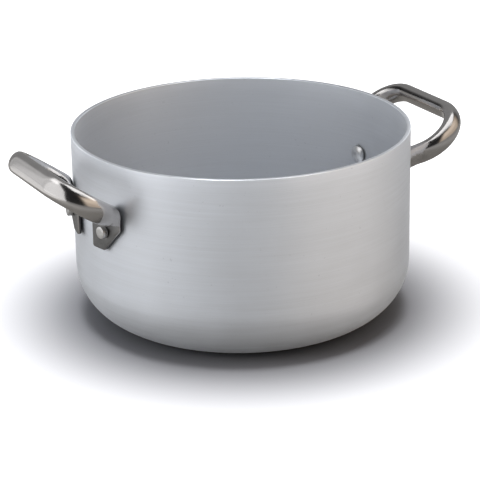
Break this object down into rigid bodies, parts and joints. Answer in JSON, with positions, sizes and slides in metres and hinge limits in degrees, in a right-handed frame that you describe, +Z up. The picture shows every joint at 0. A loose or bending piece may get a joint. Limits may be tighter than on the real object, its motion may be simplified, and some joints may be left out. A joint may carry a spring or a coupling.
{
  "type": "stock pot",
  "caption": "Round straight-walled aluminium cooking pot with a rounded base corner, open top, and raised tubular steel loop handles riveted on opposite sides.",
  "frame": {"origin": "middle of the flat base, on the surface the pot stands on", "axes": "+Z up through the open mouth, +X towards the right handle, -X towards the left handle, -Y the front"},
  "size_m": [0.3376, 0.246, 0.14],
  "materials": {
    "pot_aluminium": "satin, with fine turned lines around the wall",
    "handle_steel": "polished stainless steel",
    "rivet_aluminium": "matt, as pressed"
  },
  "bodies": {
    "root": {"pot_body": "pot_aluminium", "left_handle": "handle_steel", "right_handle": "handle_steel", "left_front_rivet": "rivet_aluminium", "left_rear_rivet": "rivet_aluminium", "right_front_rivet": "rivet_aluminium", "right_rear_rivet": "rivet_aluminium"}
  },
  "joints": []
}
